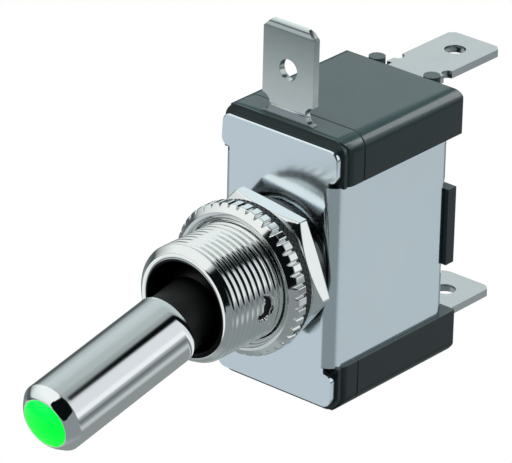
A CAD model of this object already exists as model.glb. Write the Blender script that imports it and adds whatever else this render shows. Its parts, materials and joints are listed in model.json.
# %% [markdown]
# # A panel toggle switch with a lit tip
#
# The CAD model of the switch comes in as a fixed frame: bracket, threaded bushing,
# two nuts, chromed lever with a green lens, two-part black case, three blades and the
# mechanism inside. This notebook gives it the shapes that are too fine for CAD, such as
# the screw thread and rolled edges, and the finish of each part. Everything is in metres
# and in the CAD's own axes: the bushing points along -Y and Z is up.
#
# The frame is loaded first and never changed. Its box is measured before anything is
# added, to be compared with the box of the finished switch at the end.

import json
import math

import bmesh
import bpy
import numpy as np
from mathutils import Matrix, Vector


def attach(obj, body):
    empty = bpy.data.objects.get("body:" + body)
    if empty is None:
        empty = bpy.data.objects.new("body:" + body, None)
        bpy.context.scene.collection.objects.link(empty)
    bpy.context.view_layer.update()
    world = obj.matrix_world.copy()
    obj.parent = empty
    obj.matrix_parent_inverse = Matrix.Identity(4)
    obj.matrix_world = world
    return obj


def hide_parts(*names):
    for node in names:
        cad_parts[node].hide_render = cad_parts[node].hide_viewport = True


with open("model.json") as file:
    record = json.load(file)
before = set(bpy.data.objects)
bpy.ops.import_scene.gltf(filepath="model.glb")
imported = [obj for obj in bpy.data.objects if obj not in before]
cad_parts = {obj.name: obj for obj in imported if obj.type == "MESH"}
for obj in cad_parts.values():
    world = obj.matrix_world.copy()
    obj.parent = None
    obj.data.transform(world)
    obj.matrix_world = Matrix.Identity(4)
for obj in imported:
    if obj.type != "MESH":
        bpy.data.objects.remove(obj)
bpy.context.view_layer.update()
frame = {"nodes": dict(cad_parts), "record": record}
scene = bpy.context.scene
print("CAD nodes:", len(frame["nodes"]))

# %% [markdown]
# ## Surfaces from arrays
#
# Nuts, bushing, sleeve and lens are turned on a lathe. They could be made with a Screw or
# Spin modifier, but a thread or a knurl would then need a second way. Here each is a grid
# of points, with one direction along its profile and one round the axis, and the radius
# may depend on both, so one function makes plain, threaded and knurled parts. Shapes are
# worked out in millimetres, as a maker thinks, and turned to metres in one place.

# %% Grids of points
MM = 0.001


def new_piece(name, points, faces, caps=()):
    """An object at the origin from points in mm, an (n, 3) array, and faces, an array
    of corner numbers. caps are further faces of any number of corners."""
    mesh = bpy.data.meshes.new(name)
    mesh.from_pydata((points * MM).tolist(), [], faces.tolist() + list(caps))
    mesh.polygons.foreach_set("use_smooth", np.ones(len(mesh.polygons), bool))
    mesh.update()
    piece = bpy.data.objects.new(name, mesh)
    scene.collection.objects.link(piece)
    return piece


def ring_faces(rows, columns, closed):
    """Quads of a grid that wraps round its columns, and round its rows too if closed."""
    i, j = np.meshgrid(np.arange(rows if closed else rows - 1), np.arange(columns),
                       indexing="ij")
    k, m = (i + 1) % rows, (j + 1) % columns
    corners = [i * columns + j, k * columns + j, k * columns + m, i * columns + m]
    return np.stack(corners, -1).reshape(-1, 4)


def turn(radius, y):
    """Points of a turned surface: (r cos t, y, r sin t), where radius is an array of
    rows by columns, y has one value a row, and t goes once round."""
    t = np.linspace(0, 2 * np.pi, radius.shape[1], endpoint=False)[None, :]
    y = np.broadcast_to(y[:, None], radius.shape)
    return np.stack([radius * np.cos(t), y, radius * np.sin(t)], -1).reshape(-1, 3)


def arc(centre, r, start, end, n):
    """n + 1 profile points round a centre, from angle start to end in degrees: the
    centre plus r times the cosine and the sine."""
    a = np.radians(np.linspace(start, end, n + 1))
    return np.stack([centre[0] + r * np.cos(a), centre[1] + r * np.sin(a)], -1).tolist()


# %% [markdown]
# ## Copies of sheet and moulded parts
#
# Pressed and moulded parts already have the right form in CAD, but their edges are
# perfectly sharp, which no real edge is. A CAD mesh is loose triangles and isn't to be
# changed, so a copy of it is merged, its flat faces are made whole, and a Bevel modifier
# rolls the edges. The light that a small radius catches is what makes an edge look real.

# %% Edged copies
finish_for = []


def settle(piece, node, body, slot):
    """Gives a piece its CAD body, the node it stands for and its material slot."""
    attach(piece, body)
    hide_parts(node)
    finish_for.append((piece, slot))
    print(piece.name, "for", node, len(piece.data.polygons), "faces")
    return piece


def edged_copy(node, name, width, slot, segments=3, change=None):
    """A merged copy of a CAD node of the housing, with each sharp edge rounded to a
    radius of width mm. change may edit the mesh before that."""
    same_point, same_plane, sharp = 2e-6, math.radians(0.6), math.radians(32)
    mesh = frame["nodes"][node].data.copy()
    mesh.name = name
    bm = bmesh.new()
    bm.from_mesh(mesh)
    bmesh.ops.remove_doubles(bm, verts=bm.verts, dist=same_point)
    bmesh.ops.dissolve_limit(bm, angle_limit=same_plane, verts=bm.verts, edges=bm.edges,
                             use_dissolve_boundaries=False)
    if change:
        change(bm)
    for face in bm.faces:
        face.smooth = True
    bm.to_mesh(mesh)
    bm.free()
    piece = bpy.data.objects.new(name, mesh)
    scene.collection.objects.link(piece)
    bevel = piece.modifiers.new("rolled edges", "BEVEL")
    bevel.width = width * MM
    bevel.segments = segments
    bevel.limit_method = "ANGLE"
    bevel.angle_limit = sharp
    bevel.use_clamp_overlap = True
    bevel.miter_outer = "MITER_ARC"
    normals = piece.modifiers.new("flat faces stay flat", "WEIGHTED_NORMAL")
    normals.weight = 80
    normals.keep_sharp = False
    return settle(piece, node, "housing", slot)


# %% [markdown]
# ## The bushing's screw thread
#
# The bushing is turned brass with a fine 12 mm by 0.75 mm thread. A thread is a helix, so
# the radius depends on the place along the axis and round it: one ridge a pitch, moved on
# by a pitch for each turn. A bump map would leave a smooth outline, and the crests show
# in the outline here, so the ridges are real geometry, with 16 points to a pitch. The
# front edge of the thread is cut back by a chamfer at 45 degrees, which is the smaller of
# the thread's radius and that of a cone.

# %% Thread and pin recess
THREAD_R, THREAD_DEPTH, PITCH = 6.0, 0.22, 0.75
BUSHING_LEN, BORE_R = 13.6, 4.65
PIVOT, PIN_R = 8.6, 1.25


def thread_radius(y, t):
    """Thread radius less its depth times a wave of (-y / pitch - t / 2 pi), which makes
    it right-handed. The wave is a flat root, a steep flank and a wide, rolled crest."""
    root, flank = 0.28, 0.36
    phase = (-y[:, None] / PITCH - t[None, :] / (2 * np.pi)) % 1.0
    wave = np.abs(2 * phase - 1)
    return THREAD_R - THREAD_DEPTH * (1 - np.clip((wave - root) / flank, 0, 1))


def pin_recess(radius, y, t):
    """The pivot pin's end lies in a crescent on both sides of the bushing, inside one
    circle and outside another that is further forward and up. There the radius drops to
    just over the bore's, over 0.1 mm at the crescent's edge."""
    edge, floor_r = 0.1, BORE_R + 0.05
    across = radius * np.sin(t)[None, :]
    hole = np.hypot(y[:, None] + PIVOT, across + 0.1) - PIN_R
    rim = np.hypot(y[:, None] + PIVOT + 1.1, across - 0.5) - PIN_R
    share = np.clip(-hole / edge, 0, 1) * np.clip(rim / edge, 0, 1)
    share *= (y[:, None] < -PIVOT + 2) & (np.abs(np.cos(t)) > 0.9)[None, :]
    return radius + (np.minimum(radius, floor_r) - radius) * share


# %% [markdown]
# ## The bushing as one closed profile
#
# The profile goes from the bore round the mouth, which is rolled in a little, along the
# thread and round the collar that sits in the plate, back to the bore. Only the rows of
# the thread have a radius that changes round the axis.

# %% Bushing
def make_bushing():
    """Rows of the front, the thread and the rear, each a radius and a y in mm."""
    columns, chamfer, tip = 240, 0.7, -BUSHING_LEN
    t = np.linspace(0, 2 * np.pi, columns, endpoint=False)
    face_r = THREAD_R - chamfer - 0.08
    # The mouth and the front face, and behind the thread the spigot and its collar.
    front = np.array([[BORE_R, tip + 0.8], [4.42, tip + 0.55], [4.42, tip + 0.15],
                      [4.57, tip], [face_r, tip],
                      *arc((face_r, tip + 0.1), 0.1, -90, -45, 3)])
    rear = np.array([[5.4, -0.02], [5.4, 0.84], [5.82, 0.84], [5.9, 0.92], [5.9, 1.1],
                     [5.7, 1.3], [BORE_R, 1.3]])
    thread_y = np.arange(tip + 0.05, -0.02, PITCH / 16)
    cone = THREAD_R - chamfer + (thread_y - tip)
    y = np.concatenate([front[:, 1], thread_y, rear[:, 1]])
    radius = np.concatenate([front[:, :1] * np.ones(columns),
                             np.minimum(thread_radius(thread_y, t), cone[:, None]),
                             rear[:, :1] * np.ones(columns)])
    piece = new_piece("bushing_threaded", turn(pin_recess(radius, y, t), y),
                      ring_faces(len(y), columns, True))
    return settle(piece, "bushing", "housing", "nickel_plated_brass")


make_bushing()


# %% [markdown]
# ## The two nuts
#
# Both nuts are turned from bar, so their corners are cut back by a cone at each face. The
# outline of the bar is a radius that depends on the angle, and the smaller of that and
# the cones is the nut. A soft minimum leaves the small radius that tumbling gives. A
# boolean of a prism and a cone would give the same form with a sharp, ragged edge.

# %% A nut from its outline
def soft_min(a, b, width):
    """The smaller of a and b, with the corner between them rounded over width: the mix
    b + (a - b) h less width h (1 - h), where h goes from 0 to 1 as a passes b."""
    h = np.clip(0.5 + 0.5 * (b - a) / width, 0, 1)
    return b + (a - b) * h - width * h * (1 - h)


def nut_piece(name, outline, front, rear, face_rs, slope, spacing):
    """A ring from its front to its rear face. Its radius is the soft minimum of
    outline(y), rows by columns, and of a cone at each face, whose radius is that of the
    face plus slope times the distance from it. Rows lie closer near the faces."""
    bore, lead, corner_r = 6.02, 0.6, 0.07
    n = int((rear - front) / spacing)
    y = front + (rear - front) * (0.5 - 0.5 * np.cos(np.linspace(0, np.pi, n)))
    around = outline(y)
    columns = around.shape[1]
    cone = np.minimum(face_rs[0] + (y - front) * slope, face_rs[1] + (rear - y) * slope)
    wall = soft_min(around, np.broadcast_to(cone[:, None], around.shape), corner_r)
    inner = np.array([[face_rs[1] - 0.05, rear], [bore + lead + 0.1, rear],
                      [bore + lead - 0.02, rear - 0.03], [bore, rear - lead],
                      [bore, front + lead], [bore + lead - 0.02, front + 0.03],
                      [bore + lead + 0.1, front], [face_rs[0] - 0.05, front]])
    radius = np.concatenate([wall, inner[:, :1] * np.ones(columns)])
    rows = np.concatenate([y, inner[:, 1]])
    return new_piece(name, turn(radius, rows), ring_faces(len(rows), columns, True))


# %% [markdown]
# ## Hexagon nut
#
# Six flats 14 mm apart, turned to the angle that the photograph shows. The chamfer at 30
# degrees cuts the curved bright edges that are seen on every real nut. Behind the flats
# there is a round washer face.

# %% Hexagon nut
def make_hex_nut():
    """The radius of a hexagon is half its width over the cosine of the angle from the
    middle of the nearest flat."""
    columns, turned, half_width = 360, 53.0, 7.0
    washer_r, washer_y, step = 6.85, -1.35, 0.08
    t = np.degrees(np.linspace(0, 2 * np.pi, columns, endpoint=False))
    flat = half_width / np.cos(np.radians((t - turned) % 60 - 30))

    def outline(y):
        washer = np.clip((y - washer_y) / step, 0, 1)[:, None]
        return flat + (washer_r - flat) * washer

    piece = nut_piece("hexagon_nut", outline, -3.4, -0.7, (6.45, 6.9),
                      1 / math.tan(math.radians(30)), 0.07)
    return settle(piece, "hex_nut", "housing", "nickel_plated_brass")


make_hex_nut()


# %% [markdown]
# ## Knurled nut
#
# The coarse knurl was rolled along the axis: 42 blocks with narrow valleys between them.
# It is a flat-topped wave of the angle, so it has 14 points to a block. Behind it the nut
# is a little smaller and has a fine diamond knurl, where two sets of grooves cross.

# %% Knurled nut
def make_knurled_nut():
    """Coarse: crest radius less depth times a steep-sided wave of the angle. Fine: the
    smaller of two waves that wind round it in opposite ways, added to the neck."""
    count, crest_r, depth, valley, flank = 42, 7.8, 0.42, 0.03, 0.3
    fine_count, neck_r, relief, lean = 84, 7.36, 0.14, 0.62
    neck_y, step = -4.72, 0.1
    columns = count * 14
    t = np.linspace(0, 2 * np.pi, columns, endpoint=False)
    wave = np.abs(2 * ((t * count / (2 * np.pi)) % 1.0) - 1)
    blocks = crest_r - depth * (1 - np.clip((wave - valley) / flank, 0, 1))

    def outline(y):
        turns, along = t[None, :] * fine_count / (2 * np.pi), y[:, None] / lean
        left, right = (np.abs(2 * ((turns + way * along) % 1.0) - 1) for way in (-1, 1))
        diamonds = neck_r + relief * np.minimum(left, right)
        return blocks + (diamonds - blocks) * np.clip((y - neck_y) / step, 0, 1)[:, None]

    piece = nut_piece("knurled_nut_turned", outline, -6.42, -3.42, (7.0, 7.3), 1.25, 0.05)
    return settle(piece, "knurled_nut", "housing", "nickel_plated_brass")


make_knurled_nut()


# %% [markdown]
# ## The lever's sleeve
#
# The lever is a drawn brass tube, polished and chromed, with its tip rolled over to hold
# a green lens. It is a body of revolution about the lever's own axis, so it is turned
# along Y with the pivot at the origin, and its points are then tilted with the lever. The
# object itself stays unturned, because the export puts every object at the origin.

# %% Sleeve
TILT = math.radians(11.75)
SLEEVE_R, SLEEVE_START, SLEEVE_END = 3.58, 7.654, 24.854


def on_lever(points):
    """Tilts points about X and moves them to the pivot: y' = y cos a - z sin a - pivot,
    z' = y sin a + z cos a."""
    x, y, z = points.T
    return np.stack([x, y * math.cos(TILT) - z * math.sin(TILT) - PIVOT,
                     y * math.sin(TILT) + z * math.cos(TILT)], -1)


def make_sleeve():
    """A closed profile of radius and y: the lip, the cone-shaped tip and its shoulder,
    the straight wall, the rear edge, and the bore with its step behind the lens."""
    columns, tip, r = 128, -SLEEVE_END, SLEEVE_R
    lip_r, bore_r, rear, edge_r = 2.5, 3.0, -SLEEVE_START, 0.05
    wall_y = np.linspace(tip + 1.6, rear - edge_r, 21)
    profile = np.array([
        # the lip, and a wide arc that is nearly a cone
        [lip_r - 0.02, tip + 0.3], [lip_r, tip + 0.06],
        *arc((lip_r + 0.07, tip + 0.08), 0.07, 190, 310, 5),
        *arc((0.6, tip + 2.62), 3.3, -50, -40, 7),
        # the shoulder, the wall and the rear edge
        *arc((r - 0.3, tip + 1.2), 0.3, -34, 0, 6),
        *([r, y] for y in wall_y),
        *arc((r - edge_r, rear - edge_r), edge_r, 0, 90, 3),
        # the bore, up to the step behind the lens's collar
        *arc((bore_r + 0.1, rear - 0.1), 0.1, 90, 180, 3),
        [bore_r, tip + 3.4], [bore_r - 0.05, tip + 3.3], [lip_r, tip + 3.3]])
    points = turn(profile[:, :1] * np.ones(columns), profile[:, 1])
    piece = new_piece("lever_sleeve_chromed", on_lever(points),
                      ring_faces(len(profile), columns, True))
    return settle(piece, "lever_sleeve", "lever", "chromed_brass")


make_sleeve()


# %% [markdown]
# ## The lens
#
# A moulded rod of green acrylic with a domed end. A collar behind the lip holds it in the
# sleeve. The profile starts a little off the axis, and a small flat cap closes the pole,
# so that no face has two corners in one place.

# %% Lens
def make_lens():
    """A domed rod with a collar. The dome is a ball of radius R, where
    R = (r r + h h) / 2h for a rim of radius r and a rise of h."""
    columns, r, rise, collar_r, tip = 96, 2.49, 0.89, 2.9, -SLEEVE_END
    ball = (r * r + rise * rise) / (2 * rise)
    half = math.degrees(math.asin(r / ball))
    profile = np.array([
        *arc((0, tip - rise + ball), ball, -90 + 1.2, -90 + half, 18),
        [r, tip + 0.5], [r, tip + 3.3], [collar_r, tip + 3.32], [collar_r, tip + 4.32],
        [0.02, tip + 4.32]])
    points = turn(profile[:, :1] * np.ones(columns), profile[:, 1])
    last = (len(profile) - 1) * columns
    caps = [list(range(columns)), list(range(last, last + columns))[::-1]]
    piece = new_piece("lamp_lens", on_lever(points),
                      ring_faces(len(profile), columns, False), caps)
    return settle(piece, "lamp", "lever", "green_lens")


make_lens()


# %% [markdown]
# ## Bracket
#
# The bracket is pressed from zinc-plated sheet and folded round the case. The upper end
# of its plate is 0.15 mm lower in the photograph than in CAD, and a bright strip 0.35 mm
# wide runs along it, where the blanking tool drew the edge over. One bevel of the front
# edge before the general one makes that strip.

# %% Bracket
def roll_the_top(bm):
    """Lowers the corners above z = 12.6 mm, and bevels the front edges there."""
    lower, strip, end_z, front_z, front_y = 0.15, 0.35, 12.6, 12.5, 0.01
    for vert in bm.verts:
        if vert.co.z > end_z * MM:
            vert.co.z -= lower * MM
    drawn = [edge for edge in bm.edges
             if all(vert.co.y < front_y * MM and vert.co.z > front_z * MM
                    for vert in edge.verts)]
    bmesh.ops.bevel(bm, geom=drawn, offset=strip * MM, segments=1, affect="EDGES",
                    clamp_overlap=True)


edged_copy("bracket", "bracket_pressed", 0.16, "zinc_plated_steel", change=roll_the_top)


# %% [markdown]
# ## Case
#
# Two mouldings meet in a plane across the case. Their edges are broken there, so a fine
# line shows all round. The case is cut by a plane just beside the seam, and the corners
# in the seam itself are drawn inwards by 0.1 mm, straight in on the flats and towards the
# corner's centre on the rounded edges.

# %% Case halves
SEAM_Y, SEAM = 3.7, 0.1
CASE_SIDE, CASE_TOP, CASE_EDGE_R = 7.6, 14.5, 1.6


def open_the_seam(bm, way):
    """Breaks the outer edge at the seam. way is -1 for the front half, 1 for the rear."""
    near, skin = 0.02, 0.05
    bmesh.ops.bisect_plane(bm, geom=bm.verts[:] + bm.edges[:] + bm.faces[:],
                           plane_co=(0, (SEAM_Y + way * SEAM) * MM, 0), plane_no=(0, 1, 0))
    for vert in bm.verts:
        x, y, z = vert.co / MM
        out_x = abs(x) - CASE_SIDE + CASE_EDGE_R
        out_z = abs(z) - CASE_TOP + CASE_EDGE_R
        if abs(y - SEAM_Y) > near or max(out_x, out_z) < CASE_EDGE_R - 0.5:
            continue
        if out_x > 0 and out_z > 0:
            reach = math.hypot(out_x, out_z)
            if reach > CASE_EDGE_R - skin:
                vert.co.x -= math.copysign(SEAM * out_x / reach, x) * MM
                vert.co.z -= math.copysign(SEAM * out_z / reach, z) * MM
        elif out_x > CASE_EDGE_R - skin:
            vert.co.x -= math.copysign(SEAM, x) * MM
        elif out_z > CASE_EDGE_R - skin:
            vert.co.z -= math.copysign(SEAM, z) * MM


case_halves = [
    edged_copy("case_front", "case_front_moulded", 0.14, "black_moulding",
               change=lambda bm: open_the_seam(bm, -1)),
    edged_copy("case_rear", "case_rear_moulded", 0.16, "black_moulding",
               change=lambda bm: open_the_seam(bm, 1))]


# %% [markdown]
# ## Blades
#
# Three push-on blades, 6.3 mm wide and 0.8 mm thick, are stamped from tinned brass sheet.
# The standing one was scored above its neck so that the tab can be broken off. Three cuts
# across its front give the groove its two edges and its root, and the root is pushed in.

# %% Blades
def score_the_blade(bm):
    """A V groove across the front face at z = 15.5 mm, 0.24 mm wide and 0.1 mm deep."""
    groove_z, half, depth, front_y = 15.5, 0.12, 0.1, 1.3
    for z in (groove_z - half, groove_z, groove_z + half):
        bmesh.ops.bisect_plane(bm, geom=bm.verts[:] + bm.edges[:] + bm.faces[:],
                               plane_co=(0, 0, z * MM), plane_no=(0, 0, 1))
    for vert in bm.verts:
        if abs(vert.co.z - groove_z * MM) < 1e-6 and vert.co.y < front_y * MM:
            vert.co.y += depth * MM


for node, name, change in (("terminal_upper", "blade_supply", None),
                           ("terminal_lower", "blade_load", None),
                           ("terminal_earth", "blade_earth", score_the_blade)):
    edged_copy(node, name, 0.07, "tinned_brass", 2, change)


# %% [markdown]
# ## How a finish is built
#
# Each finish is a small tree of nodes on the piece's own coordinates, in metres, so the
# grain has its real size and stays put from any side. A slow noise lets the colour drift
# between two close tones, and a fine one changes roughness and gives a little relief.
# Colours are sRGB hex, as a paint chart gives them, and one function makes them linear.

# %% Adding nodes
MIX_A, MIX_B, MIXED = 6, 7, 2
COLOR_MIX = {"data_type": "RGBA"}


def hex_color(code):
    """sRGB hex to the linear colour that a shader takes: c / 12.92 for the darkest, and
    ((c + 0.055) / 1.055) to the power 2.4 for the rest."""
    c = np.array([int(code[i:i + 2], 16) / 255 for i in (1, 3, 5)])
    linear = np.where(c <= 0.04045, c / 12.92, ((c + 0.055) / 1.055) ** 2.4)
    return (*linear.tolist(), 1.0)


def add(tree, kind, inputs=None, settings=None, stops=()):
    """Adds a node. inputs are values, or sockets that feed it, by the name or number of
    the input. settings are its own choices. stops are places from 0 to 1 and colours."""
    node = tree.nodes.new(kind)
    for key, value in (settings or {}).items():
        setattr(node, key, value)
    for key, value in (inputs or {}).items():
        if isinstance(value, bpy.types.NodeSocket):
            tree.links.new(value, node.inputs[key])
        else:
            node.inputs[key].default_value = value
    for k, (place, color) in enumerate(stops):
        elements = node.color_ramp.elements
        if k == 0:
            elements.remove(elements[0])
        element = elements[0] if k == 0 else elements.new(place)
        element.position, element.color = place, color
    return node


def finish_of(name, color, shade, rough, patch, grain, bump, plain, stretch=(1, 1, 1)):
    """A finish whose colour drifts from color to shade over patches of patch mm, whose
    roughness runs over the pair rough, and whose fine grain of grain mm is bump mm
    deep. plain are values that are the same all over. stretch scales the grain."""
    material = bpy.data.materials.new(name)
    material.use_nodes = True
    tree = material.node_tree
    shader = tree.nodes["Principled BSDF"]
    for key, value in plain.items():
        shader.inputs[key].default_value = value
    place = add(tree, "ShaderNodeTexCoord").outputs["Object"]
    patches = add(tree, "ShaderNodeTexNoise", {
        "Vector": place, "Scale": 1 / (patch * MM), "Detail": 2.0, "Roughness": 0.5})
    mix = add(tree, "ShaderNodeMix", {"Factor": patches.outputs["Fac"],
                                      MIX_A: hex_color(color), MIX_B: hex_color(shade)},
              COLOR_MIX)
    stretched = add(tree, "ShaderNodeMapping", {
        "Vector": place, "Scale": tuple(s / (grain * MM) for s in stretch)})
    fine = add(tree, "ShaderNodeTexNoise", {
        "Vector": stretched.outputs[0], "Scale": 1.0, "Detail": 3.0, "Roughness": 0.55})
    span = add(tree, "ShaderNodeMapRange", {
        "Value": fine.outputs["Fac"], "From Min": 0.3, "From Max": 0.7,
        "To Min": rough[0], "To Max": rough[1]})
    relief = add(tree, "ShaderNodeBump", {
        "Height": fine.outputs["Fac"], "Distance": bump * MM, "Strength": 1.0})
    tree.links.new(mix.outputs[MIXED], shader.inputs["Base Color"])
    tree.links.new(span.outputs[0], shader.inputs["Roughness"])
    tree.links.new(relief.outputs[0], shader.inputs["Normal"])
    print("finish:", name)
    return material


# %% [markdown]
# ## Plated metals outside
#
# Plated metal takes its whole look from what it mirrors, so its colour is nearly white
# and its roughness says how it was made. Polished chrome is the sharpest, nickel over
# turned brass nearly so, zinc and tin are soft. Each keeps the default IOR. The grain is
# drawn as coarse as it must be to show at this size of picture, and its relief is tiny.

# %% Plated metals
METAL = {"Metallic": 1.0}
FINISHES = {
    # Zinc on rolled steel sheet, clear passivated: pale blue-grey, faintly spangled over
    # patches of 6 mm, with a soft reflection that shows no edges.
    "zinc_plated_steel": finish_of("zinc_plated_steel", "#F0FAFF", "#E8F4FC",
                                   (0.13, 0.18), 6.0, 0.25, 0.0002, METAL),
    # Bright nickel over turned brass: warm white. The tool left marks round the axis, so
    # the grain is 20 times longer across it than along it.
    "nickel_plated_brass": finish_of("nickel_plated_brass", "#F8F9F8", "#EEF0EE",
                                     (0.05, 0.10), 3.0, 0.12, 0.0005, METAL,
                                     (0.05, 1, 0.05)),
    # Chrome over a drawn, polished tube: the whitest and smoothest, like a mirror.
    "chromed_brass": finish_of("chromed_brass", "#FBFCFC", "#F6F8F8", (0.03, 0.05), 8.0,
                               0.3, 0.00005, METAL),
    # Tin on rolled and stamped brass: grey-white and satin, with faint rolling marks.
    "tinned_brass": finish_of("tinned_brass", "#E6EAEA", "#DCE2E2", (0.2, 0.25), 3.0, 0.2,
                              0.0002, METAL, (1, 1, 0.4)),
}

# %% [markdown]
# ## Plastics
#
# The case is moulded in black glass-filled nylon from a polished tool, so it has a soft
# sheen in which its edges show as pale bands. The core of the lever is unpolished nylon.
# The lens is clear green acrylic with a lamp behind it: in the photograph it is an even,
# bright green with hardly any reflection, so it glows and has little gloss.

# %% Plastics
FINISHES.update({
    # Injection moulded, glass-filled nylon: nearly black, satin, a slight orange peel.
    "black_moulding": finish_of("black_moulding", "#1A2526", "#202B2C", (0.2, 0.26), 4.0,
                                0.2, 0.001, {"Specular IOR Level": 0.3}),
    # Moulded nylon, a rubbing part: black and matt.
    "black_nylon": finish_of("black_nylon", "#060707", "#0B0C0C", (0.35, 0.45), 3.0, 0.15,
                             0.002, {"Specular IOR Level": 0.25}),
    # Moulded acrylic lit from behind: an even, saturated green.
    "green_lens": finish_of("green_lens", "#08D83A", "#0CE642", (0.12, 0.2), 2.0, 0.4,
                            0.0005, {"Specular IOR Level": 0.15,
                                     "Emission Color": hex_color("#00FF40"),
                                     "Emission Strength": 0.8}),
})

# %% [markdown]
# ## Metals and coatings of the mechanism
#
# Hardly anything of these shows from outside, but the switch can be opened or cut
# through, so each has the finish that such a part really has. The grain of a wire or a
# small stamping is about a tenth of a millimetre.

# %% Inside finishes
FINISHES.update({
    # Heat-blackened steel of the pin: dark, dull, slightly uneven.
    "oxided_steel": finish_of("oxided_steel", "#2C2C2E", "#222225", (0.35, 0.5), 2.0, 0.1,
                              0.001, METAL),
    # Hot-dipped tin on drawn copper wire: pale and satin.
    "tinned_copper": finish_of("tinned_copper", "#C8C8C6", "#BBBBBA", (0.2, 0.3), 1.5,
                               0.1, 0.0006, METAL),
    # Dipped and baked lacquer on the resistor: sandy, eggshell gloss.
    "resistor_coating": finish_of("resistor_coating", "#C9A878", "#BE9A68", (0.35, 0.5),
                                  1.0, 0.1, 0.002, {}),
    # Enamel drawn over copper wire: a glossy red-brown.
    "wire_enamel": finish_of("wire_enamel", "#8C3A22", "#7A2E1B", (0.2, 0.3), 1.0, 0.1,
                             0.001, {}),
    # Hard-drawn and coiled steel wire: mid grey with drawing marks.
    "spring_steel": finish_of("spring_steel", "#9A9A9C", "#868688", (0.2, 0.3), 1.0, 0.08,
                              0.0008, METAL),
    # Turned and stamped brass without plating: yellow, lightly tarnished.
    "bare_brass": finish_of("bare_brass", "#D9B561", "#C79F4B", (0.2, 0.32), 2.0, 0.1,
                            0.0008, METAL),
    # Rolled spring bronze: redder and duller than brass.
    "spring_bronze": finish_of("spring_bronze", "#C98F5B", "#B67F4E", (0.25, 0.35), 2.0,
                               0.12, 0.0008, METAL),
    # Solid silver contact, coined: white with a soft bloom.
    "silver_contact": finish_of("silver_contact", "#E6E4DF", "#D9D6CF", (0.2, 0.35), 1.0,
                                0.08, 0.001, METAL),
})


# %% [markdown]
# ## Grease in the gaps, and dull tin
#
# The bore, the fine knurl between the nuts and the gap at the plate hold dark grease, and
# the standing blade's tin is duller towards its top and below its score. Both are painted
# by place on the piece: by the distance from the bushing's axis and the place along it,
# and by height. An image would do the same, but needs an unwrapped mesh.

# %% Darker places
def darken_gaps(material, radius, code):
    """Turns the plating to a colour within radius mm of the axis and in two bands of Y.
    The distance from the axis is the length of the X and Z coordinates. The bands are
    stops at places in mm, with 1 for clean plating and less for grease."""
    front = -5.0
    bands = ((-4.725, 1), (-4.66, 0.06), (-3.46, 0.06), (-3.42, 1), (-1.4, 1), (-1.3, 0.1))
    tree = material.node_tree
    base = tree.nodes["Principled BSDF"].inputs["Base Color"]
    plating = base.links[0].from_socket
    place = add(tree, "ShaderNodeTexCoord").outputs["Object"]
    flat = add(tree, "ShaderNodeVectorMath", {0: place, 1: (1, 0, 1)},
               {"operation": "MULTIPLY"})
    far = add(tree, "ShaderNodeVectorMath", {0: flat.outputs[0]}, {"operation": "LENGTH"})
    outside = add(tree, "ShaderNodeMapRange", {
        "Value": far.outputs["Value"], "From Min": radius * MM,
        "From Max": (radius + 0.1) * MM})
    depth = add(tree, "ShaderNodeSeparateXYZ", {"Vector": place}).outputs["Y"]
    along = add(tree, "ShaderNodeMapRange", {
        "Value": depth, "From Min": front * MM, "From Max": 0.0})
    between = add(tree, "ShaderNodeValToRGB", {"Fac": along.outputs[0]}, stops=[
        ((y - front) / -front, (share, share, share, 1)) for y, share in bands])
    clean = add(tree, "ShaderNodeMath", {
        0: outside.outputs[0], 1: between.outputs["Color"]}, {"operation": "MULTIPLY"})
    mix = add(tree, "ShaderNodeMix", {"Factor": clean.outputs[0], MIX_A: hex_color(code),
                                      MIX_B: plating}, COLOR_MIX)
    tree.links.new(mix.outputs[MIXED], base)


def dull_by_height(material, stops):
    """Multiplies the colour by one that depends on the height. stops are pairs of z in
    mm and hex colours."""
    tree = material.node_tree
    base = tree.nodes["Principled BSDF"].inputs["Base Color"]
    plating = base.links[0].from_socket
    place = add(tree, "ShaderNodeTexCoord").outputs["Object"]
    tall = add(tree, "ShaderNodeSeparateXYZ", {"Vector": place}).outputs["Z"]
    low, high = stops[0][0], stops[-1][0]
    share = add(tree, "ShaderNodeMapRange", {
        "Value": tall, "From Min": low * MM, "From Max": high * MM})
    tone = add(tree, "ShaderNodeValToRGB", {"Fac": share.outputs[0]}, stops=[
        ((z - low) / (high - low), hex_color(code)) for z, code in stops])
    mix = add(tree, "ShaderNodeMix", {"Factor": 1.0, MIX_A: plating,
                                      MIX_B: tone.outputs["Color"]},
              {**COLOR_MIX, "blend_type": "MULTIPLY"})
    tree.links.new(mix.outputs[MIXED], base)


darken_gaps(FINISHES["nickel_plated_brass"], BORE_R + 0.06, "#1C1E1F")
dull_by_height(FINISHES["tinned_brass"], [
    (14.0, "#D4D6D8"), (14.4, "#BEC2C6"), (15.3, "#B8BCC0"), (15.55, "#FFFFFF"),
    (18.0, "#F2F4F0"), (21.0, "#D2D6D2"), (23.3, "#B8BCB8"), (23.55, "#A0A8A6"),
    (23.65, "#F8FCFA"), (24.4, "#F8FCFA")])

# %% [markdown]
# ## Putting the finishes on
#
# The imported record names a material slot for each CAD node, and each new piece was given
# one when it was made. A CAD node that stays hidden behind its piece gets its finish too.

# %% Finishes on nodes and pieces
for part in frame["record"]["subparts"]:
    finish_for.append((frame["nodes"][part["node"]], part["material_slot"]))
for piece, slot in finish_for:
    piece.data.materials.clear()
    piece.data.materials.append(FINISHES[slot])
print("pieces and nodes with a finish:", len(finish_for))


# %% [markdown]
# ## Floor
#
# The photograph is a product picture on pure white. The floor is a plain sheet, far
# enough below for its shadow to stay out of sight. It is hidden from reflections, which
# come from the sky alone, so that they can be matched to the photograph's.

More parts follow.
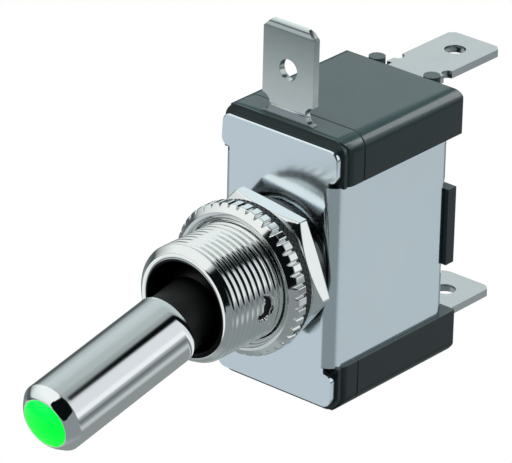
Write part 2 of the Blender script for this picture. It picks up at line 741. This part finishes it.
# %% Floor
def make_floor():
    """A flat sheet 6 m across, 120 mm below the switch, white as paper."""
    half, drop, n = 3000.0, -120.0, 9
    line = np.linspace(-half, half, n)
    x, y = np.meshgrid(line, line, indexing="ij")
    points = np.stack([x, y, np.full_like(x, drop)], -1).reshape(-1, 3)
    i, j = np.meshgrid(np.arange(n - 1), np.arange(n - 1), indexing="ij")
    quads = np.stack([i * n + j, (i + 1) * n + j, (i + 1) * n + j + 1, i * n + j + 1], -1)
    sheet = new_piece("floor", points, quads.reshape(-1, 4))
    paper = bpy.data.materials.new("floor_paper")
    paper.use_nodes = True
    tree = paper.node_tree
    tree.nodes.clear()
    white = add(tree, "ShaderNodeEmission", {"Color": (1, 1, 1, 1), "Strength": 1.0})
    add(tree, "ShaderNodeOutputMaterial", {"Surface": white.outputs[0]})
    sheet.data.materials.append(paper)
    sheet.visible_glossy = sheet.visible_diffuse = sheet.visible_transmission = False
    sheet.visible_shadow = False
    print("floor at z =", drop, "mm")


make_floor()

# %% [markdown]
# ## Where a ray goes
#
# Chrome shows the whole room, so the sky is painted as a studio: bands of grey that
# change with height, different to the left, right, front and rear. A direction is a unit
# vector. The arcsine of its Z is its height, and its X and Y, made a unit vector of their
# own, say how far it is to the right and to the rear.

# %% Directions
world = bpy.data.worlds.new("studio")
scene.world = world
world.use_nodes = True
sky = world.node_tree
sky.nodes.clear()

direction = add(sky, "ShaderNodeTexCoord").outputs["Generated"]
up_z = add(sky, "ShaderNodeSeparateXYZ", {"Vector": direction}).outputs["Z"]
angle = add(sky, "ShaderNodeMath", {0: up_z}, {"operation": "ARCSINE"}).outputs[0]
height = add(sky, "ShaderNodeMapRange", {
    "Value": angle, "From Min": -math.pi / 2, "From Max": math.pi / 2}).outputs[0]
level = add(sky, "ShaderNodeVectorMath", {0: direction, 1: (1, 1, 0)},
            {"operation": "MULTIPLY"}).outputs[0]
level = add(sky, "ShaderNodeVectorMath", {0: level}, {"operation": "NORMALIZE"}).outputs[0]
side, rear = add(sky, "ShaderNodeSeparateXYZ", {"Vector": level}).outputs[:2]

# Each share goes from 0 to 1 as the direction turns from the first side to the second.
window_share, right_share, rear_share = (
    add(sky, "ShaderNodeMapRange", {
        "Value": turned, "From Min": start, "From Max": end}).outputs[0]
    for turned, start, end in ((side, 0.12, 0.12 + 1 / 4.5), (side, 0.1, 0.3),
                               (rear, -0.25, 0.25)))

# %% [markdown]
# ## The four sides of the studio
#
# Each side is a ramp of greys over the height, in degrees above the horizon. They were
# read off the switch by thinking backwards: the lever is a mirror bent one way, so each
# stripe along it shows one height of the studio.

# %% Bands by height
BANDS = {
    "window": [
        (-75, "#8A9493"), (-41, "#8B9392"), (-34, "#8C9294"), (-30, "#B4BABC"),
        (-26, "#C0C6C8"), (-22, "#B4BABC"), (-18, "#8C9294"), (-10, "#676C70"),
        (-5, "#90969A"), (0, "#B4BABD"), (4, "#F0F4F6"), (12, "#F0F4F6"),
        (18, "#DCE1E5"), (40, "#DCE1E5"), (47, "#C4C9CC"), (54, "#9AA2A2"),
        (60, "#8B9493"), (66, "#A0A8A8"), (90, "#A8B0B0")],
    "shade": [
        (-75, "#8A9493"), (-40, "#8B9392"), (-15, "#70787A"), (-3, "#4A5254"),
        (4, "#5A6264"), (10, "#808888"), (18, "#A6AEB0"), (24, "#B2BCBE"),
        (38, "#C3CED0"), (50, "#C0CBCD"), (58, "#BBC7C7"), (64, "#B0BABB"),
        (90, "#A8B0B0")],
    "front_left": [
        (-90, "#9AA2A4"), (-45, "#B8C0C4"), (-26, "#C4CACE"), (-18, "#C4CACE"),
        (-13, "#4A5254"), (-3, "#4A5254"), (3, "#D8DEDE"), (30, "#F4F8F8"),
        (58, "#F4F8F8"), (90, "#A8B0B0")],
    "front_right": [
        (-90, "#9AA2A4"), (-45, "#949A9C"), (-20, "#8C9496"), (0, "#747C7E"),
        (12, "#6A7274"), (24, "#4A5254"), (34, "#20282A"), (58, "#20282A"),
        (68, "#A0A8AA"), (90, "#A8B0B0")],
}
bands = {}
for name, stops in BANDS.items():
    ramp = add(sky, "ShaderNodeValToRGB", {"Fac": height}, stops=[
        ((degrees + 90) / 180, hex_color(code)) for degrees, code in stops])
    bands[name] = ramp.outputs["Color"]
behind = add(sky, "ShaderNodeMix", {"Factor": window_share, MIX_A: bands["shade"],
                                    MIX_B: bands["window"]}, COLOR_MIX).outputs[MIXED]
in_front = add(sky, "ShaderNodeMix", {
    "Factor": right_share, MIX_A: bands["front_left"], MIX_B: bands["front_right"]},
    COLOR_MIX).outputs[MIXED]
around = add(sky, "ShaderNodeMix", {"Factor": rear_share, MIX_A: in_front, MIX_B: behind},
             COLOR_MIX).outputs[MIXED]
print("sides of the studio:", ", ".join(bands))


# %% [markdown]
# ## Flags and reflectors
#
# A photographer hangs black flags to put dark edges on bright metal, and white cards to
# lift dark parts. Each is a round patch of sky with a soft edge. The cosine of the angle
# between the ray and the patch's middle is their dot product, so the patch needs no
# trigonometry of its own. A ray straight to the camera sees white, as in the photograph.

# %% Panels
def towards(azimuth, elevation):
    """Unit vector of a direction, (sin a cos e, -cos a cos e, sin e), with the azimuth
    counted from -Y towards +X."""
    a, e = math.radians(azimuth), math.radians(elevation)
    return (math.sin(a) * math.cos(e), -math.cos(a) * math.cos(e), math.sin(e))


def panel(color, azimuth, elevation, full, none, shade, gain=1.0):
    """Turns color to gain times shade within full degrees of a direction, and leaves it
    past none degrees."""
    dot = add(sky, "ShaderNodeVectorMath", {0: direction, 1: towards(azimuth, elevation)},
              {"operation": "DOT_PRODUCT"})
    share = add(sky, "ShaderNodeMapRange", {
        "Value": dot.outputs["Value"], "From Min": math.cos(math.radians(none)),
        "From Max": math.cos(math.radians(full))}, {"interpolation_type": "SMOOTHSTEP"})
    return add(sky, "ShaderNodeMix", {
        "Factor": share.outputs[0], MIX_A: color,
        MIX_B: tuple(gain * c for c in hex_color(shade))}, COLOR_MIX).outputs[MIXED]


PANELS = (
    (145, 48, 9.5, 13.5, "#080C0D"),     # black flag high behind, to the right
    (167, 43, 10, 14, "#10181A"),        # black flag high behind
    (-142, 24, 8, 14, "#E8EEEE", 1.25),  # white card behind, to the left
    (140, 22, 5, 9, "#E8EEEE"),          # small white card behind, to the right
    (32, -26, 38, 52, "#868E90"),        # wide, soft grey card low in front
    (22, 14, 28, 30, "#0A0E0F"),         # wide black flag in front
)
for patch in PANELS:
    around = panel(around, *patch)
seen = add(sky, "ShaderNodeLightPath").outputs["Is Camera Ray"]
around = add(sky, "ShaderNodeMix", {"Factor": seen, MIX_A: around, MIX_B: (1, 1, 1, 1)},
             COLOR_MIX).outputs[MIXED]
background = add(sky, "ShaderNodeBackground", {"Color": around, "Strength": 1.0})
add(sky, "ShaderNodeOutputWorld", {"Surface": background.outputs[0]})
scene.view_settings.view_transform = "Standard"
print("nodes in the sky:", len(sky.nodes))


# %% [markdown]
# ## Lamps
#
# The sky lights everything softly. One wide lamp above adds the photograph's light from
# the top, and isn't mirrored, so it leaves no patch in the metal. A strip beside the case
# draws the pale band on its long edge. It lights the two case halves alone, because metal
# this near to it would mirror it as a white patch.

# %% Lamps
def area_lamp(name, centre, azimuth, elevation, distance, size, watts, mirrored):
    """A soft light aimed at a place in mm. size is its width and its length, the length
    along Y. If it isn't mirrored it lights surfaces and isn't seen in them."""
    data = bpy.data.lights.new(name, "AREA")
    data.shape = "RECTANGLE"
    data.size, data.size_y = size[0] * MM, size[1] * MM
    data.energy = watts
    lamp = bpy.data.objects.new(name, data)
    away = Vector(towards(azimuth, elevation))
    along = Vector((0, 1, 0)) - away * away.y
    along.normalize()
    pose = Matrix((along.cross(away), along, away)).transposed().to_4x4()
    pose.translation = (Vector(centre) + away * distance) * MM
    lamp.matrix_world = pose
    lamp.visible_glossy = mirrored
    lamp.visible_camera = False
    scene.collection.objects.link(lamp)
    print("lamp:", name, watts, "W")
    return lamp


area_lamp("overhead", (0, 0, 0), 0, 89, 500, (350, 350), 9.0, False)
edge_strip = area_lamp("edge_strip", (7, 16, 13), 145, 29, 35, (20, 27), 0.009, True)
lit_by_strip = bpy.data.collections.new("lit_by_strip")
for half in case_halves:
    lit_by_strip.objects.link(half)
edge_strip.light_linking.receiver_collection = lit_by_strip

# %% [markdown]
# ## Camera
#
# The camera was fitted to the photograph's straight edges: a long lens, 40 degrees round
# from the front and 26 degrees above, rolled a little over one degree. Angles are in
# radians, distances in mm and the focal length in pixels of a picture 512 wide. Instead of
# a lens shift the camera itself stands a little aside.

# %% Camera
AZIMUTH, ELEVATION, ROLL = 0.69637163, 0.44683311, 0.02321375
DISTANCE, ASIDE, ABOVE = 472.74375, 1.94533888, -2.78222713
FOCAL, PICTURE_WIDTH, SENSOR = 4894.48032, 512, 36
back = Vector(towards(math.degrees(AZIMUTH), math.degrees(ELEVATION)))
right = Vector((math.cos(AZIMUTH), math.sin(AZIMUTH), 0))
up = back.cross(right)
rolled_right = math.cos(ROLL) * right + math.sin(ROLL) * up
rolled_up = -math.sin(ROLL) * right + math.cos(ROLL) * up
lens_data = bpy.data.cameras.new("camera")
lens_data.sensor_width = SENSOR
lens_data.lens = FOCAL * SENSOR / PICTURE_WIDTH
lens_data.clip_start, lens_data.clip_end = 0.01, 10
camera = bpy.data.objects.new("camera", lens_data)
view = Matrix((rolled_right, rolled_up, back)).transposed().to_4x4()
view.translation = (back * DISTANCE - rolled_right * ASIDE - rolled_up * ABOVE) * MM
camera.matrix_world = view
scene.collection.objects.link(camera)
scene.camera = camera
print("camera lens:", round(lens_data.lens, 1), "mm")
